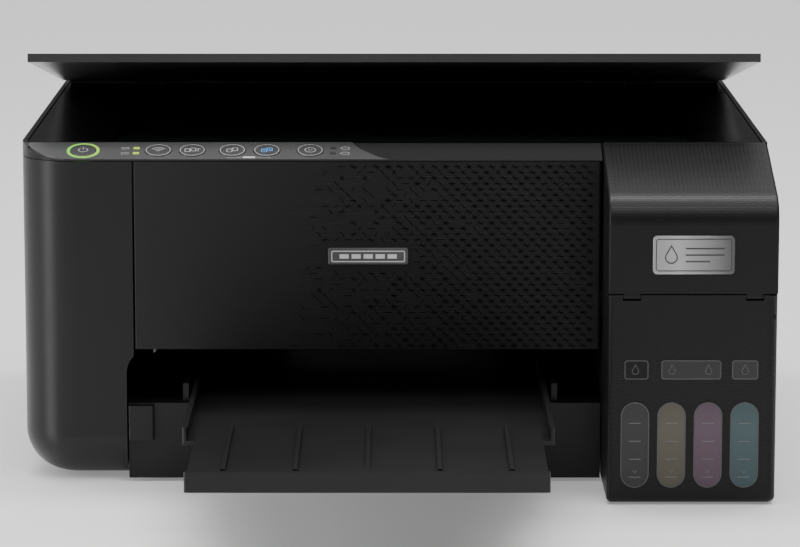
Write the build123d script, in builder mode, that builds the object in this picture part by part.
from build123d import *
import os
from math import atan2, cos, degrees, radians, sin, tan

# Ink-tank printer, copier and scanner for A4 sheets. Millimetres, +Z up, +X to the user's right, +Y to the
# back. The origin is on the floor in the middle of the footprint, with the output tray pulled out.

# Driving dimensions
WIDTH = 375.0
SIDE = WIDTH / 2            # outer face of either side cover
FRONT = -46.0               # outer face of the front cover
BACK = FRONT + 297.0        # outer face of the rear cover
TANK_FRONT = FRONT - 50.0   # the ink tank housing stands out in front
TANK_LEFT = 104.4
RIM = 171.0                 # top edge of the side covers and of the scanner frame
SKIRT = 2.0                 # lower edge of the side covers
DECK = 7.6                  # top of the base's floor, where the works stand
WALL = 2.5
LEFT_SEAM = -130.0          # between the left side cover and the front cover
COVER_TOP = 163.6
CORNER_R = 28.0             # rounded front corner of the left side cover
SLOT_TOP = 68.7             # lower edge of the front cover
SLOT_LEFT = -134.5
SLOT_R = 12.5
SEAM = 105.0                # top of the ink tank housing
TANK_LOW = 1.2              # its underside
BEVEL_DEPTH = 19.5          # sloping front of the scanner frame, which holds the control panel
BEVEL_LOW = 164.6
SHELF = 40.5                # deck that the output tray slides on
TRAY_X = -12.2              # middle of the output tray
SCREWS = [(x, z) for x in (-176, 176) for z in (18, 84, 160)]
TRAY_OUT = 104.0            # travel of the tray and of its extension
EXTENSION_OUT = 101.0

# Scanner and lid
UNIT_SIDE = 184.2
UNIT_BACK = FRONT + 273.0
TUB_LOW = 139.0
TUB_TOP = 163.0
GLASS = (-142.0, 150.0, FRONT + 18.0, FRONT + 234.0)
LID_AXIS = (FRONT + 277.0, 174.0)      # y and z of the lid's hinge
LID_OPEN = 8.85                        # degrees that the lid stands open
SCANNER_AXIS = (FRONT + 269.0, 166.0)

# Ink tanks
TANK_PITCH = 17.9
TANK_FIRST = 118.05
TANK_NAMES = ("black", "yellow", "magenta", "cyan")
TANK_XS = [TANK_FIRST + TANK_PITCH * i for i in range(4)]
WINDOW = (42.5, 13.7)
WINDOW_Z = 30.3
NECK_Y = FRONT - 22.0
SPOUT_Z = 18.0
CAP_AXIS = (FRONT + 2.0, 101.6)
COVER_AXIS = (TANK_FRONT + 1.25, 103.8)      # y and z of the tank cover's hinge
COVER_TABS = ((112.0, 120.0), (172.0, 180.0))

# Paper path and carriage
FEED = (FRONT + 142.0, 57.0)
EJECT = (FRONT + 88.0, 57.0)
PICKUP = (FRONT + 262.0, 78.0)
BELT_Y = FRONT + 168.0
BELT_Z = 96.0
BELT_ENDS = (-112.0, 170.0)
PULLEY_R = 6.0
FRAME_SIDES = (-126.0, 180.0)
PARK = 142.0                # middle of the parked print carriage

# Control panel: a plane lying on the sloping front of the scanner frame
slope = degrees(atan2(RIM - BEVEL_LOW, BEVEL_DEPTH))
PANEL = Plane(
    origin=(0, FRONT + BEVEL_DEPTH / 2, (RIM + BEVEL_LOW) / 2),
    x_dir=(1, 0, 0),
    z_dir=(0, -sin(radians(slope)), cos(radians(slope))),
)
BUTTONS = {
    "power_button": -155.6,
    "wireless_button": -118.0,
    "status_button": -101.0,
    "mono_copy_button": -81.0,
    "colour_copy_button": -63.7,
    "stop_button": -42.0,
}
LIGHTS = ((-129.0, 2.9), (-129.0, -2.9), (-30.6, 2.9), (-30.6, -2.9))
BUTTON_R = 6.6
BUTTON_GAP = 0.2

LID = Plane(
    origin=(0, *LID_AXIS),
    x_dir=(1, 0, 0),
    z_dir=(0, sin(radians(LID_OPEN)), cos(radians(LID_OPEN))),
)
LID_FRONT = -254.0
LID_BACK = 2.0
LID_UNDER = -2.5            # underside of the closed lid, measured from the hinge
LID_TOP = 5.0


def block(x0, x1, y0, y1, z0, z1, mode=Mode.ADD):
    """A box between two corners, in the open part."""
    with Locations(((x0 + x1) / 2, (y0 + y1) / 2, (z0 + z1) / 2)):
        Box(x1 - x0, y1 - y0, z1 - z0, mode=mode)


def rod(x0, x1, y, z, r, mode=Mode.ADD):
    """A round bar along X."""
    with Locations(Location(((x0 + x1) / 2, y, z), (0, 90, 0))):
        Cylinder(r, x1 - x0, mode=mode)


def post(x, y, z0, z1, r, mode=Mode.ADD):
    """A round bar along Z."""
    with Locations((x, y, (z0 + z1) / 2)):
        Cylinder(r, z1 - z0, mode=mode)


def pin_y(x, z, y0, y1, r, mode=Mode.ADD):
    """A round bar along Y."""
    with Locations(Location((x, (y0 + y1) / 2, z), (90, 0, 0))):
        Cylinder(r, y1 - y0, mode=mode)


def side_profile(points, x0, x1, mode=Mode.ADD):
    """A straight-sided outline of (y, z) points, extruded along X."""
    with BuildSketch(Plane.YZ.offset(x0)) as profile:
        with BuildLine():
            Polyline(*points, close=True)
        make_face()
    extrude(profile.sketch, amount=x1 - x0, mode=mode)


def cut_paper_slot():
    """The rounded opening that sheets leave through, shared by the covers around it."""
    with BuildSketch(Plane.XZ.offset(-FRONT - 62)) as opening:
        with BuildLine():
            Polyline((SLOT_LEFT, SLOT_TOP - SLOT_R), (SLOT_LEFT, -5), (260, -5), (260, SLOT_TOP))
            Line((260, SLOT_TOP), (SLOT_LEFT + SLOT_R, SLOT_TOP))
            CenterArc((SLOT_LEFT + SLOT_R, SLOT_TOP - SLOT_R), SLOT_R, 90, 90)
        make_face()
    extrude(opening.sketch, amount=70, mode=Mode.SUBTRACT)


# ---- Outer covers ----

with BuildPart() as left_side_cover:
    block(-SIDE, LEFT_SEAM - 0.8, FRONT, BACK - WALL, SKIRT, RIM)
    fillet(edges().filter_by(Axis.Z).group_by(Axis.X)[0].group_by(Axis.Y)[0], CORNER_R)
    lower = edges().group_by(Axis.Z)[0]
    fillet([e for e in lower if e.center().X < LEFT_SEAM - 1 and e.center().Y < BACK - WALL - 1], 22)
    open_sides = [faces().sort_by(Axis.X)[-1], faces().sort_by(Axis.Y)[-1], faces().sort_by(Axis.Z)[-1]]
    offset(amount=-WALL, openings=open_sides)
    block(SLOT_LEFT - WALL, SLOT_LEFT, FRONT + 1, FRONT + 100, DECK, SLOT_TOP - SLOT_R - 1)
    cut_paper_slot()
    block(-SIDE - 1, LEFT_SEAM, FRONT - 1, FRONT + BEVEL_DEPTH + 0.5, COVER_TOP, RIM + 1, mode=Mode.SUBTRACT)
    rod(-SIDE + 0.8, -SIDE + 3, *SCANNER_AXIS, 1.55, mode=Mode.SUBTRACT)

with BuildPart() as right_side_cover:
    side_profile(
        [
            (FRONT + 18, SEAM + 0.5),
            (FRONT + 18, RIM),
            (BACK - WALL, RIM),
            (BACK - WALL, SKIRT),
            (FRONT + 60.3, SKIRT),
            (FRONT + 60.3, SEAM + 0.5),
        ],
        SIDE - WALL,
        SIDE,
    )
    chamfer(edges().filter_by(Axis.Y).group_by(Axis.Z)[0].sort_by(Axis.X)[-1], 1.5)
    rod(SIDE - 3, SIDE - 0.8, *SCANNER_AXIS, 1.55, mode=Mode.SUBTRACT)

with BuildPart() as front_cover:
    block(LEFT_SEAM, TANK_LEFT - 0.6, FRONT, FRONT + WALL, SLOT_TOP, COVER_TOP)
    block(LEFT_SEAM + 12, TANK_LEFT - 0.6, FRONT + 1, FRONT + 12, SLOT_TOP, SLOT_TOP + 2)
    block(LEFT_SEAM, LEFT_SEAM + 2, FRONT + 1, FRONT + 12, SLOT_TOP + 2, TUB_LOW - 2)
    block(TANK_LEFT - 2.6, TANK_LEFT - 0.6, FRONT + 1, FRONT + 12, SLOT_TOP, TUB_LOW - 2)
    cut_paper_slot()
    upright = edges().filter_by(Axis.Z).group_by(Axis.Y)[0]
    fillet(upright.sort_by(Axis.X)[-1], 1.8)
    fillet(upright.sort_by(Axis.X)[0], 0.8)

with BuildPart() as lower_front_panel:
    block(-133.9, TANK_LEFT - 0.5, FRONT + 3, FRONT + 5.5, SKIRT, SHELF)
    block(-133.9, TANK_LEFT - 0.5, FRONT + 3, FRONT + 60, SHELF - WALL, SHELF)
    block(-130, TANK_LEFT - 0.5, FRONT + 60, FRONT + 194, SHELF - WALL, SHELF)
    for x in (TRAY_X - 94.5, TRAY_X + 91.5):
        block(x, x + 3, FRONT + 8, FRONT + 194, SHELF, SHELF + 9)
    block(-133.9, -121, FRONT, FRONT + 3.5, 22, SHELF - 1)
    fillet(edges().filter_by(Axis.Z).group_by(Axis.Y)[0], 1)

with BuildPart() as rear_cover:
    block(-SIDE, SIDE, BACK - WALL, BACK, SKIRT, 92)
    block(-SIDE, -118.5, BACK - WALL, BACK, 90, RIM)
    block(118.5, SIDE, BACK - WALL, BACK, 90, RIM)
    for x in (-SIDE + 2.8, 118.5):
        block(x, x + SIDE - 121.3, FRONT + 282.6, BACK - 1, 158, 160.4)
    fillet(edges().filter_by(Axis.Y).filter_by(lambda e: abs(e.center().X) > SIDE - 1), 3)
    block(-166, -136, BACK - 4, BACK + 1, 22, 46, mode=Mode.SUBTRACT)
    block(147, 161, BACK - 4, BACK + 1, 56, 69, mode=Mode.SUBTRACT)
    for x, z in SCREWS:
        pin_y(x, z, BACK - 1.6, BACK + 1, 3.8, mode=Mode.SUBTRACT)
    for row in range(7):
        block(-60, 60, BACK - 4, BACK + 1, 24 + 8 * row, 27 + 8 * row, mode=Mode.SUBTRACT)

FEET = ((-118, FRONT + 35), (-118, FRONT + 275), (150, FRONT + 275), (90, FRONT + 35))
BASE = (-165.0, 183.0, FRONT + 24, FRONT + 293, 5.0)
with BuildPart() as base_housing:
    x0, x1, y0, y1, floor = BASE
    block(x0, x1, y0, y1, floor, floor + WALL)
    block(x0, x0 + WALL, y0, y1, floor, 36)
    block(x1 - WALL, x1, FRONT + 60.5, y1, floor, 36)
    block(x0, x1, y1 - WALL, y1, floor, 36)
    block(TANK_LEFT - 1, x1 + 1, y0 - 1, FRONT + 60.4, floor - 1, 40, mode=Mode.SUBTRACT)
    for x, y in FEET:
        post(x, y, 2.5, floor + 0.5, 9)
    block(-167, -134, BACK - 20, BACK, 21, 47, mode=Mode.SUBTRACT)

with BuildPart() as rubber_feet:
    for x, y in FEET:
        post(x, y, 0, 2.5, 8)
    post(146, FRONT - 20, 0, TANK_LOW, 7)
    chamfer(edges().group_by(Axis.Z)[0], 0.4)

with BuildPart() as case_screws:
    for x, z in SCREWS:
        pin_y(x, z, BACK - 1.6, BACK, 3.6)
    fillet(edges().group_by(Axis.Y)[-1], 0.6)
    for x, z in SCREWS:
        block(x - 2.2, x + 2.2, BACK - 0.8, BACK + 1, z - 0.4, z + 0.4, mode=Mode.SUBTRACT)
        block(x - 0.4, x + 0.4, BACK - 0.8, BACK + 1, z - 2.2, z + 2.2, mode=Mode.SUBTRACT)

with BuildPart() as front_badge:
    with BuildSketch(Plane.XZ.offset(-FRONT)):
        with Locations((-13, 116)):
            RectangleRounded(40, 8.5, 1.2)
    extrude(amount=0.8)
    fillet(faces().sort_by(Axis.Y)[0].edges(), 0.3)

# ---- Ink tank unit ----

with BuildPart() as tank_housing:
    block(TANK_LEFT, SIDE, TANK_FRONT, FRONT + 60, TANK_LOW, SEAM)
    upright = edges().filter_by(Axis.Z).group_by(Axis.Y)[0]
    fillet(upright.sort_by(Axis.X)[-1], 5)
    fillet(upright.sort_by(Axis.X)[0], 2.5)
    fillet(faces().sort_by(Axis.Z)[0].edges().filter_by(Axis.X).sort_by(Axis.Y)[0], 2.4)
    chamfer(faces().sort_by(Axis.Z)[-1].edges().filter_by(Axis.X).sort_by(Axis.Y)[0], 0.6)
    block(TANK_LEFT + WALL, SIDE - WALL, TANK_FRONT + WALL, FRONT + 57.5, TANK_LOW + WALL, SEAM + 1,
          mode=Mode.SUBTRACT)
    for left, right in COVER_TABS:
        block(left - 0.4, right + 0.4, TANK_FRONT - 1, TANK_FRONT + 4, SEAM - 2.9, SEAM + 1,
              mode=Mode.SUBTRACT)
        rod(left - 1.6, right + 1.6, *COVER_AXIS, 0.85, mode=Mode.SUBTRACT)
    block(TANK_LEFT + 1, SIDE - 1, TANK_FRONT + 1, FRONT + 59, 92.5, 95)
    with BuildSketch(Plane.XZ.offset(-TANK_FRONT + 1)):
        with Locations([(x, WINDOW_Z) for x in TANK_XS]):
            SlotOverall(*WINDOW, rotation=90)
    extrude(amount=-5, mode=Mode.SUBTRACT)
    for x in TANK_XS:
        post(x, NECK_Y, 90, 97, 6.3, mode=Mode.SUBTRACT)
        pin_y(x, SPOUT_Z, FRONT + 56, FRONT + 61, 2.2, mode=Mode.SUBTRACT)
        for ear in (x - 6.8, x + 5.2):
            block(ear, ear + 1.6, CAP_AXIS[0] - 2.4, CAP_AXIS[0] + 2.4, 94.8, CAP_AXIS[1] + 2)
    rod(TANK_LEFT + 5, SIDE - 5, *CAP_AXIS, 1.05, mode=Mode.SUBTRACT)
    block(TANK_LEFT + 1.0, SIDE - 1.0, FRONT + 59, FRONT + 61, SEAM - 3, SEAM + 1, mode=Mode.SUBTRACT)


def make_tank(x):
    """A blow-moulded tank whose sight bulge fills its window, with a filler neck and a rear spout."""
    front = TANK_FRONT + WALL + 0.3
    with BuildPart() as tank:
        block(x - 8.6, x + 8.6, front, FRONT + 52, 6.2, 90)
        fillet(edges(), 1.5)
        with BuildSketch(Plane.XZ.offset(-TANK_FRONT + 0.3)):
            with Locations((x, WINDOW_Z)):
                SlotOverall(WINDOW[0] - 0.5, WINDOW[1] - 0.5, rotation=90)
        extrude(amount=-5)
        post(x, NECK_Y, 88, 99, 6)
        block(x - 7.2, x + 7.2, front + 1.4, FRONT + 50.6, 7.6, 88.6, mode=Mode.SUBTRACT)
        post(x, NECK_Y, 87, 100, 4, mode=Mode.SUBTRACT)
        pin_y(x, SPOUT_Z, FRONT + 51, FRONT + 61, 1.9)
    return tank


def make_cap(x):
    """A rubber filler cap on a short arm that swings up and back."""
    with BuildPart() as cap:
        post(x, NECK_Y, 99.2, 103.6, 7)
        fillet(edges().group_by(Axis.Z)[-1], 1.2)
        post(x, NECK_Y, 96.6, 99.5, 3)
        block(x - 4, x + 4, NECK_Y + 5, CAP_AXIS[0], 100.6, 102.6)
        rod(x - 5, x + 5, *CAP_AXIS, 1.9)
        rod(x - 6.7, x + 6.7, *CAP_AXIS, 1.0)
        block(x - 2.5, x + 2.5, NECK_Y - 8.6, NECK_Y - 5, 100.4, 102)
    return cap


ink_tanks = {f"ink_tank_{name}": make_tank(x) for name, x in zip(TANK_NAMES, TANK_XS)}
tank_caps = {f"tank_cap_{name}": make_cap(x) for name, x in zip(TANK_NAMES, TANK_XS)}

COVER_SLOPE = tan(radians(17))
with BuildPart() as tank_cover:
    rear = FRONT + 17.7
    front_height = RIM - (rear - TANK_FRONT) * COVER_SLOPE
    side_profile(
        [(TANK_FRONT, SEAM + 0.5), (TANK_FRONT, front_height), (rear, RIM), (rear, SEAM + 0.5)],
        TANK_LEFT,
        SIDE,
    )
    fillet(edges().filter_by(Axis.X).group_by(Axis.Y)[0].sort_by(Axis.Z)[-1], 15)
    offset(amount=-2.2, openings=[faces().sort_by(Axis.Z)[0], faces().sort_by(Axis.Y)[-1]])
    outline = [e for e in edges() if min(abs(e.center().X - TANK_LEFT), abs(e.center().X - SIDE)) < 0.01]
    fillet([e for e in outline if e.center().Z > SEAM + 2 and e.center().Y < rear - 1], 1.6)
    for left, right in COVER_TABS:
        y, z = COVER_AXIS
        block(left, right, y - 1.1, y + 1.1, z, SEAM + 1.5)
        rod(left, right, y, z, 1.1)
        rod(left - 1.5, right + 1.5, y, z, 0.8)

with BuildPart() as tank_badge:
    with BuildSketch(Plane.XZ.offset(-TANK_FRONT)):
        with Locations((145.9, 124.8)):
            RectangleRounded(40, 19, 2)
    extrude(amount=0.8)
    fillet(faces().sort_by(Axis.Y)[0].edges(), 0.3)

with BuildPart() as ink_labels:
    with BuildSketch(Plane.XZ.offset(-TANK_FRONT)):
        for x0, x1 in ((113.2, 123.9), (131.2, 159.5), (165.8, 177.6)):
            with Locations(((x0 + x1) / 2, 67.8)):
                RectangleRounded(x1 - x0, 8.5, 1)
    extrude(amount=0.4)

# ---- Scanner ----

with BuildPart() as scanner_base:
    block(-UNIT_SIDE, UNIT_SIDE, FRONT + 5, UNIT_BACK, TUB_LOW, TUB_TOP)
    fillet(edges().filter_by(Axis.Z).group_by(Axis.X)[0].sort_by(Axis.Y)[0], CORNER_R - 4)
    block(-UNIT_SIDE + WALL, UNIT_SIDE - WALL, FRONT + 22, UNIT_BACK - WALL, TUB_LOW + WALL, TUB_TOP + 1,
          mode=Mode.SUBTRACT)
    block(-158, TANK_LEFT - 4, FRONT + 7.5, FRONT + 20, TUB_LOW + WALL, TUB_TOP + 1, mode=Mode.SUBTRACT)
    block(-UNIT_SIDE - 1, TANK_LEFT, FRONT + 4, FRONT + 20, 157.5, TUB_TOP + 1, mode=Mode.SUBTRACT)
    block(TANK_LEFT - 1, UNIT_SIDE + 1, FRONT + 4, FRONT + 19.5, TUB_LOW - 1, TUB_TOP + 1, mode=Mode.SUBTRACT)
    for x in (-UNIT_SIDE + 5, UNIT_SIDE - 10):
        block(x, x + 5, FRONT + 127, FRONT + 133, TUB_LOW + 1, 150)
    rod(-UNIT_SIDE + 7, UNIT_SIDE - 7, FRONT + 130, 146, 2)

def panel_outline():
    """The strip of the control panel, with its right end swept in an S-curve."""
    half = BEVEL_DEPTH / 2 / cos(radians(slope)) - 0.4
    with BuildLine() as outline:
        Polyline((-21, half), (-183.5, half), (-183.5, -half), (1, -half))
        Spline((1, -half), (-12, -0.3 * half), (-21, half), tangents=((-1, 0), (-0.3, 1)))
    make_face(outline.edges())


def panel_discs(r, power_r):
    """One disc at each button, larger at the power button."""
    for name, x in BUTTONS.items():
        with Locations((x, 0)):
            Circle(power_r if name == "power_button" else r)


def panel_light_spots(margin):
    with Locations(*LIGHTS):
        RectangleRounded(3.2 + margin, 2.2 + margin, 0.6)


with BuildPart() as scanner_top_frame:
    block(-UNIT_SIDE, UNIT_SIDE, FRONT + BEVEL_DEPTH - 0.5, UNIT_BACK, TUB_TOP + 0.3, RIM)
    block(-UNIT_SIDE + WALL, UNIT_SIDE - WALL, FRONT + 22, UNIT_BACK - WALL, TUB_TOP, RIM - 1.8,
          mode=Mode.SUBTRACT)
    side_profile(
        [
            (FRONT, COVER_TOP + 0.3),
            (FRONT, BEVEL_LOW),
            (FRONT + BEVEL_DEPTH, RIM),
            (FRONT + BEVEL_DEPTH + 0.2, RIM),
            (FRONT + BEVEL_DEPTH + 0.2, COVER_TOP + 0.3),
        ],
        -SIDE,
        TANK_LEFT - 0.6,
    )
    with BuildSketch(Plane.XY.offset(160)):
        with BuildLine():
            Polyline(
                (-SIDE, FRONT + CORNER_R),
                (-SIDE - 2, FRONT + CORNER_R),
                (-SIDE - 2, FRONT - 2),
                (-SIDE + CORNER_R, FRONT - 2),
                (-SIDE + CORNER_R, FRONT),
            )
            RadiusArc((-SIDE + CORNER_R, FRONT), (-SIDE, FRONT + CORNER_R), CORNER_R)
        make_face()
    extrude(amount=15, mode=Mode.SUBTRACT)
    block(-165, TANK_LEFT - 6, FRONT + 4, FRONT + 19.6, 158, COVER_TOP + 1)
    block(-SIDE, -183.2, FRONT + 19.9, FRONT + 22.5, 160, RIM + 1, mode=Mode.SUBTRACT)
    block(-SIDE, -183.2, FRONT + 18, FRONT + 20, 160, COVER_TOP + 0.3, mode=Mode.SUBTRACT)
    block(GLASS[0], GLASS[1], GLASS[2], GLASS[3], TUB_TOP, RIM + 1, mode=Mode.SUBTRACT)
    for end in (-1, 1):
        rod(*sorted((end * (UNIT_SIDE - 1), end * (SIDE - 0.9))), *SCANNER_AXIS, 1.5)
    with BuildSketch(PANEL.offset(-0.8)):
        panel_outline()
    extrude(amount=3, mode=Mode.SUBTRACT)
    with BuildSketch(PANEL.offset(-3.2)):
        panel_discs(BUTTON_R + BUTTON_GAP, BUTTON_R + 1.7)
        panel_light_spots(0)
    extrude(amount=4, mode=Mode.SUBTRACT)

with BuildPart() as scanner_glass:
    block(GLASS[0] - 6, GLASS[1] + 6, FRONT + 22.2, GLASS[3] + 6, RIM - 4.8, RIM - 1.9)
    block(GLASS[0] + 0.2, GLASS[1] - 0.2, GLASS[2] + 0.2, FRONT + 23, RIM - 4.8, RIM - 1.9)

with BuildPart() as scan_bar:
    block(-166, -148, FRONT + 26, FRONT + 238, 149.5, 160)
    block(-163, -151, FRONT + 28, FRONT + 236, 160, 165.4)
    fillet(edges().filter_by(Axis.Z), 0.8)
    block(-164, -150, FRONT + 125, FRONT + 135, 143, 149.6)
    rod(-167, -147, FRONT + 130, 146, 2.06, mode=Mode.SUBTRACT)


with BuildPart() as control_panel:
    with BuildSketch(Plane.XY.offset(160)):
        with BuildLine():
            Polyline(
                (-SIDE + 1, FRONT + CORNER_R),
                (-SIDE + 1, FRONT + 40),
                (60, FRONT + 40),
                (60, FRONT + 0.6),
                (-SIDE + CORNER_R, FRONT + 0.6),
            )
            RadiusArc((-SIDE + CORNER_R, FRONT + 0.6), (-SIDE + 1, FRONT + CORNER_R), CORNER_R)
        make_face()
    extrude(amount=15)
    with BuildSketch(PANEL.offset(-0.8)):
        panel_outline()
    extrude(amount=0.8, mode=Mode.INTERSECT)
    with BuildSketch(PANEL.offset(-1)):
        panel_discs(BUTTON_R + BUTTON_GAP, BUTTON_R + 1.7)
        panel_light_spots(0)
    extrude(amount=2, mode=Mode.SUBTRACT)

def make_button(x):
    """A flat round key with a softened rim, set in the sloping panel."""
    with BuildPart() as button:
        with BuildSketch(PANEL.offset(-2.2)):
            with Locations((x, 0)):
                Circle(BUTTON_R)
        extrude(amount=2.7)
        fillet(edges().sort_by(Axis.Z)[-1], 0.4)
    return button


buttons = {name: make_button(x) for name, x in BUTTONS.items()}

with BuildPart() as panel_lights:
    with BuildSketch(PANEL.offset(-3.2)):
        with Locations((BUTTONS["power_button"], 0)):
            Circle(BUTTON_R + 1.6)
            Circle(BUTTON_R + 0.3, mode=Mode.SUBTRACT)
        panel_light_spots(-0.1)
    extrude(amount=3.4)

# ---- Lid ----

HINGE_XS = (-140.0, 140.0)
with BuildPart(LID) as lid_cover:
    block(-SIDE + 0.3, SIDE - 0.3, LID_FRONT, LID_BACK, LID_UNDER, LID_TOP)
    top_edges = edges().filter_by(Axis.X)
    chamfer(top_edges.sort_by(Axis.Z)[-1], 3.2, 80)
    block(-130, 130, LID_BACK - 2.5, LID_BACK, LID_UNDER - 1.8, LID_UNDER)
    for side in (-1, 1):
        with BuildSketch(LID.offset(LID_UNDER - 1)):
            with BuildLine():
                Polyline(
                    (side * (SIDE + 1), LID_FRONT - 1),
                    (side * (SIDE - 3.2), LID_FRONT - 1),
                    (side * (SIDE - 0.3), LID_BACK - 10),
                    (side * (SIDE + 1), LID_BACK - 10),
                    close=True,
                )
            make_face()
        extrude(amount=LID_TOP - LID_UNDER + 2, mode=Mode.SUBTRACT)
    block(-143, 162, LID_FRONT + 5, -40, LID_UNDER - 1, 0.6, mode=Mode.SUBTRACT)
    for side in (-1, 1):
        corner = sorted((side * (UNIT_SIDE - 0.4), side * SIDE))
        block(*corner, LID_BACK - 16, LID_BACK + 1, LID_UNDER - 1, LID_TOP + 1, mode=Mode.SUBTRACT)
    for x in HINGE_XS:
        block(x - 8.4, x + 8.4, -6.5, LID_BACK + 1, LID_UNDER - 1, LID_TOP + 1, mode=Mode.SUBTRACT)
        rod(x - 8.5, x - 5, 0, 0, 1.3)
        rod(x + 5, x + 8.5, 0, 0, 1.3)

with BuildPart(LID) as document_mat:
    block(-142.5, 161.5, LID_FRONT + 5.5, -40.5, LID_UNDER + 0.1, 0.5)
    fillet(edges().filter_by(Axis((0, 0, 0), LID.z_dir)), 3)

with BuildPart() as lid_hinges:
    y, z = LID_AXIS
    for x in HINGE_XS:
        block(x - 8, x + 8, y - 4, y - 0.5, 152, z)
        rod(x - 8, x + 8, y, z, 3)
    for x in HINGE_XS:
        rod(x - 9, x + 9, y, z, 1.35, mode=Mode.SUBTRACT)

# ---- Output tray ----

with BuildPart() as output_tray:
    tray_front = FRONT + 4 - TRAY_OUT
    tray_back = FRONT + 190 - TRAY_OUT
    block(TRAY_X - 89, TRAY_X + 89, tray_front, tray_back, SHELF + 0.4, SHELF + 2.4)
    for x in (TRAY_X - 89, TRAY_X + 86.5):
        block(x, x + 2.5, tray_front, tray_back, SHELF + 2.4, SHELF + 9)
    fillet(edges().filter_by(Axis.Z).group_by(Axis.Y)[0], 1)

with BuildPart() as output_tray_extension:
    ext_front = FRONT - TRAY_OUT - EXTENSION_OUT
    block(TRAY_X - 82.7, TRAY_X + 82.7, ext_front, ext_front + 3.4, SHELF + 1, SHELF + 10.4)
    block(TRAY_X - 82.7, TRAY_X + 82.7, ext_front + 3, ext_front + 125, SHELF + 2.7, SHELF + 5)
    for i in range(5):
        x = TRAY_X - 66 + 33 * i
        block(x - 1, x + 1, ext_front + 20, ext_front + 122, SHELF + 4.8, SHELF + 7.5)
    fillet(edges().filter_by(Axis.Z).group_by(Axis.Y)[0], 1.2)
    block(TRAY_X - 26, TRAY_X + 26, ext_front + 2, ext_front + 18, SHELF + 5.4, SHELF + 11,
          mode=Mode.SUBTRACT)
    rod(TRAY_X - 28.2, TRAY_X + 28.2, ext_front + 5, SHELF + 7.6, 1.05, mode=Mode.SUBTRACT)

STOPPER_AXIS = (FRONT - TRAY_OUT - EXTENSION_OUT + 5, SHELF + 7.6)
with BuildPart() as paper_stopper:
    y, z = STOPPER_AXIS
    rod(TRAY_X - 25.4, TRAY_X + 25.4, y, z, 1.8)
    block(TRAY_X - 25.4, TRAY_X + 25.4, y, y + 12, z - 1.2, z + 1)
    fillet(edges().filter_by(Axis.Z).group_by(Axis.Y)[-1], 3)

# ---- Rear paper feeder ----

FEEDER_HALF = 115.0
GUARD_AXIS = (FRONT + 286.0, 161.0)
SUPPORT_AXIS = (FRONT + 295.0, 97.0)
with BuildPart() as feeder_frame:
    block(-FEEDER_HALF, FEEDER_HALF, FRONT + 280.4, FRONT + 282.4, 90, 160)
    for x in (-FEEDER_HALF - 3, FEEDER_HALF):
        block(x, x + 3, FRONT + 280.4, BACK - WALL - 0.2, 84, 165)
        block(x, x + 3, FRONT + 288, BACK, 92.3, 101)
    rod(-FEEDER_HALF - 2, FEEDER_HALF + 2, *GUARD_AXIS, 1.25, mode=Mode.SUBTRACT)
    rod(-FEEDER_HALF - 2, FEEDER_HALF + 2, *SUPPORT_AXIS, 1.55, mode=Mode.SUBTRACT)

with BuildPart() as feeder_guard:
    y, z = GUARD_AXIS
    rod(-FEEDER_HALF + 0.6, FEEDER_HALF - 0.6, y, z, 1.7)
    rod(-FEEDER_HALF - 1.8, FEEDER_HALF + 1.8, y, z, 1.2)
    block(-FEEDER_HALF + 0.6, FEEDER_HALF - 0.6, y, y + 6.4, z - 0.8, z + 0.8)

with BuildPart() as paper_support_base:
    y, z = SUPPORT_AXIS
    block(-104, 104, BACK - 4, BACK, 94, 168)
    rod(-FEEDER_HALF - 1.8, FEEDER_HALF + 1.8, y, z, 1.5)
    rod(-FEEDER_HALF + 0.5, FEEDER_HALF - 0.5, y, z, 2)
    block(-96, 96, BACK - 3, BACK - 1, 101, 170, mode=Mode.SUBTRACT)
    fillet(edges().filter_by(Axis.Y).group_by(Axis.Z)[-1], 0.5)

with BuildPart() as paper_support:
    block(-95.6, 95.6, BACK - 2.7, BACK - 1.3, 101.5, 168.6)
    block(-60, 60, BACK - 4, BACK, 168.6, RIM)
    fillet(edges().filter_by(Axis.Y).group_by(Axis.Z)[-1], 1.5)

with BuildPart() as edge_guide:
    block(99, 101, FRONT + 283, FRONT + 292, 112, 156)
    block(94, 101, FRONT + 283, FRONT + 284.2, 104, 126)
    fillet(edges().filter_by(Axis.X).group_by(Axis.Z)[-1], 2)

with BuildPart() as pickup_roller:
    rod(-118, 106, *PICKUP, 3)
    rod(38, 70, *PICKUP, 12)

# ---- Paper transport ----

with BuildPart() as feed_roller:
    rod(-124, 104, *FEED, 5)
    rod(-133, -120, *FEED, 2.5)
    rod(-132, -128, *FEED, 16)

with BuildPart() as eject_roller:
    rod(-124, 104, *EJECT, 2.5)
    for i in range(7):
        x = -102 + 31 * i
        rod(x - 4, x + 4, *EJECT, 5)

with BuildPart() as star_wheels:
    rod(-118, 98, EJECT[0], EJECT[1] + 9.4, 1)
    for i in range(7):
        x = -102 + 31 * i
        rod(x - 0.6, x + 0.6, EJECT[0], EJECT[1] + 9.4, 4)

with BuildPart() as platen:
    block(-120, 101, FRONT + 96, FRONT + 134, 53, 56)
    for i in range(12):
        x = -108 + 18 * i
        block(x - 1, x + 1, FRONT + 98, FRONT + 132, 55.8, 61.6)
    for y in (FRONT + 98, FRONT + 130):
        block(-118, 100, y, y + 1.6, 55.8, 60.4)

# ---- Carriage drive ----

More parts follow.
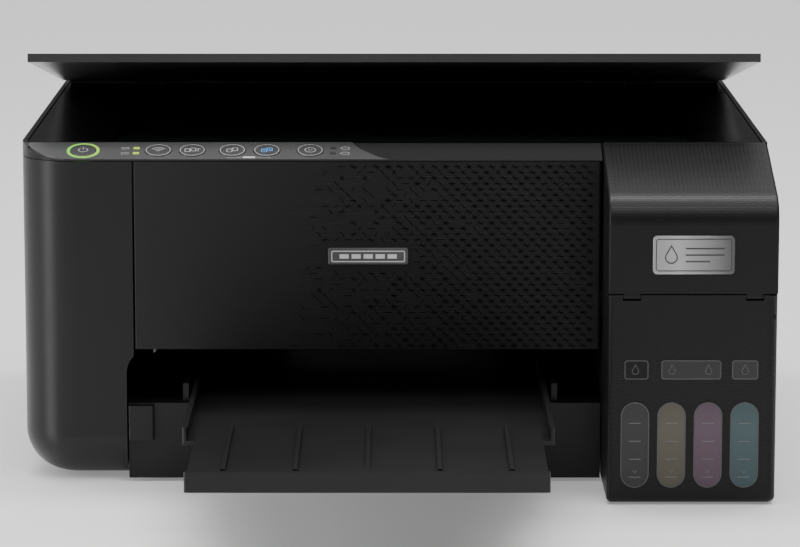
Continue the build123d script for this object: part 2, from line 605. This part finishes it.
with BuildPart() as main_frame:
    x0, x1 = FRAME_SIDES
    block(x0, x1, FRONT + 172, FRONT + 173.5, 72, 124)
    block(x0, x1, FRONT + 150, FRONT + 173.5, 122.5, 124)
    block(x0, x1, FRONT + 150, FRONT + 151.5, 116, 124)
    block(x0, x1, FRONT + 78, FRONT + 92, 110, 111.5)
    for x in (x0, x1 - 1.5):
        block(x, x + 1.5, FRONT + 78, FRONT + 173.5, 52.2, 124)
    block(x1 - 1.5, x1, FRONT + 78, FRONT + 173.5, DECK, 60)
    block(TANK_LEFT + 4, x1, FRONT + 172, FRONT + 173.5, DECK, 74)
    rod(x0 - 1, x0 + 3, *FEED, 5.3, mode=Mode.SUBTRACT)
    rod(x0 - 1, x0 + 3, *EJECT, 2.6, mode=Mode.SUBTRACT)
    pin_y(BELT_ENDS[0], BELT_Z, FRONT + 171, FRONT + 175, 3, mode=Mode.SUBTRACT)
    pin_y(BELT_ENDS[1], BELT_Z, FRONT + 165, FRONT + 172.5, 1.5)

with BuildPart() as print_carriage:
    block(PARK - 30, PARK + 30, FRONT + 96, FRONT + 145, 66, 112)
    fillet(edges().filter_by(Axis.Z), 3)
    block(PARK - 28, PARK + 28, FRONT + 98, FRONT + 143, 100, 113, mode=Mode.SUBTRACT)
    block(PARK - 30, PARK + 30, FRONT + 143, FRONT + 149.6, 66, 120)
    block(PARK - 30, PARK + 30, FRONT + 149, FRONT + 164.5, 66, 115.6)
    block(PARK - 30, PARK + 30, FRONT + 151.9, FRONT + 157, 114, 120)
    block(PARK - 30, PARK + 30, FRONT + 80, FRONT + 97, 111.9, 115)
    block(PARK - 9, PARK + 9, FRONT + 164, FRONT + 170.5, 103.4, 106)
    block(PARK - 24, PARK + 24, FRONT + 108, FRONT + 138, 63.5, 66.2)
    block(PARK + 4, PARK + 18, FRONT + 120, FRONT + 128, 99, 136.5)

with BuildPart() as carriage_belt:
    with BuildSketch(Plane.XZ.offset(-BELT_Y + 2)):
        with Locations(((BELT_ENDS[0] + BELT_ENDS[1]) / 2, BELT_Z)):
            SlotCenterToCenter(BELT_ENDS[1] - BELT_ENDS[0], 2 * PULLEY_R + 2.2)
            SlotCenterToCenter(BELT_ENDS[1] - BELT_ENDS[0], 2 * PULLEY_R + 0.2, mode=Mode.SUBTRACT)
    extrude(amount=-4)

with BuildPart() as carriage_motor:
    pin_y(BELT_ENDS[0], BELT_Z, FRONT + 173.7, FRONT + 206, 14)
    fillet(edges().group_by(Axis.Y)[-1], 2)
    pin_y(BELT_ENDS[0], BELT_Z, FRONT + 173, FRONT + 190, 1.55, mode=Mode.SUBTRACT)

with BuildPart() as motor_pulley:
    pin_y(BELT_ENDS[0], BELT_Z, BELT_Y - 2.6, BELT_Y + 2.6, PULLEY_R)
    pin_y(BELT_ENDS[0], BELT_Z, BELT_Y, FRONT + 189, 1.5)

with BuildPart() as idler_pulley:
    pin_y(BELT_ENDS[1], BELT_Z, BELT_Y - 2.6, BELT_Y + 2.6, PULLEY_R)
    pin_y(BELT_ENDS[1], BELT_Z, BELT_Y - 3, BELT_Y + 3, 1.56, mode=Mode.SUBTRACT)

with BuildPart() as cap_station:
    block(PARK - 26, PARK + 26, FRONT + 104, FRONT + 142, 30, 58)
    block(PARK - 22, PARK + 22, FRONT + 110, FRONT + 136, 57, 62.8)
    block(PARK - 19, PARK + 19, FRONT + 113, FRONT + 133, 60, 64, mode=Mode.SUBTRACT)

TUBE_R = 1.4
with BuildPart() as ink_tubes:
    for i, x in enumerate(TANK_XS):
        level = 127 + 3.1 * (3 - i)
        with BuildLine():
            FilletPolyline(
                (x, FRONT + 61.2, SPOUT_Z),
                (x, FRONT + 68, SPOUT_Z),
                (x, FRONT + 68, level),
                (178.6, FRONT + 68, level),
                (178.6, FRONT + 160, level),
                (0, FRONT + 160, level),
                (0, FRONT + 130, level),
                (PARK + 18, FRONT + 130, level),
                radius=4.5,
            )
        with BuildSketch(Plane(origin=(x, FRONT + 61.2, SPOUT_Z), z_dir=(0, 1, 0))):
            Circle(TUBE_R)
        sweep()

# ---- Electrics ----

with BuildPart() as power_supply:
    block(-158, -108, FRONT + 196, FRONT + 276, DECK, 54)
    fillet(edges().filter_by(Axis.Z), 3)

with BuildPart() as main_board:
    block(160.6, 162.2, FRONT + 180, BACK - 8, 20, 118)
    for y, z in ((FRONT + 200, 50), (FRONT + 230, 84), (FRONT + 205, 96)):
        block(158, 160.8, y, y + 16, z, z + 16)
    block(147.3, 160.8, BACK - 17, BACK - 0.4, 56.4, 68.6)
    block(149.5, 158.5, BACK - 15, BACK + 1, 58.5, 66.5, mode=Mode.SUBTRACT)
    block(152, 156, BACK - 16, BACK - 4, 61.4, 63.6)

with BuildPart() as ac_inlet:
    block(-165.6, -136.4, BACK - 18, BACK - 0.6, 22.4, 45.6)
    fillet(edges().filter_by(Axis.Y), 2)
    block(-160, -142, BACK - 16, BACK + 1, 29.5, 38.5, mode=Mode.SUBTRACT)
    for x in (-155, -147):
        pin_y(x, 34, BACK - 17, BACK - 5, 1)

# ---- Written files ----

pieces = {
    "left_side_cover": left_side_cover,
    "right_side_cover": right_side_cover,
    "front_cover": front_cover,
    "lower_front_panel": lower_front_panel,
    "rear_cover": rear_cover,
    "base_housing": base_housing,
    "rubber_feet": rubber_feet,
    "case_screws": case_screws,
    "front_badge": front_badge,
    "tank_housing": tank_housing,
    **ink_tanks,
    **tank_caps,
    "tank_cover": tank_cover,
    "tank_badge": tank_badge,
    "ink_labels": ink_labels,
    "scanner_base": scanner_base,
    "scanner_top_frame": scanner_top_frame,
    "scanner_glass": scanner_glass,
    "scan_bar": scan_bar,
    "control_panel": control_panel,
    **buttons,
    "panel_lights": panel_lights,
    "lid_cover": lid_cover,
    "document_mat": document_mat,
    "lid_hinges": lid_hinges,
    "output_tray": output_tray,
    "output_tray_extension": output_tray_extension,
    "paper_stopper": paper_stopper,
    "feeder_frame": feeder_frame,
    "feeder_guard": feeder_guard,
    "paper_support_base": paper_support_base,
    "paper_support": paper_support,
    "edge_guide": edge_guide,
    "pickup_roller": pickup_roller,
    "feed_roller": feed_roller,
    "eject_roller": eject_roller,
    "star_wheels": star_wheels,
    "platen": platen,
    "main_frame": main_frame,
    "print_carriage": print_carriage,
    "carriage_belt": carriage_belt,
    "carriage_motor": carriage_motor,
    "motor_pulley": motor_pulley,
    "idler_pulley": idler_pulley,
    "cap_station": cap_station,
    "ink_tubes": ink_tubes,
    "power_supply": power_supply,
    "main_board": main_board,
    "ac_inlet": ac_inlet,
}

os.makedirs("parts", exist_ok=True)
for name, piece in pieces.items():
    piece.part.label = name
    export_step(piece.part, f"parts/{name}.step")
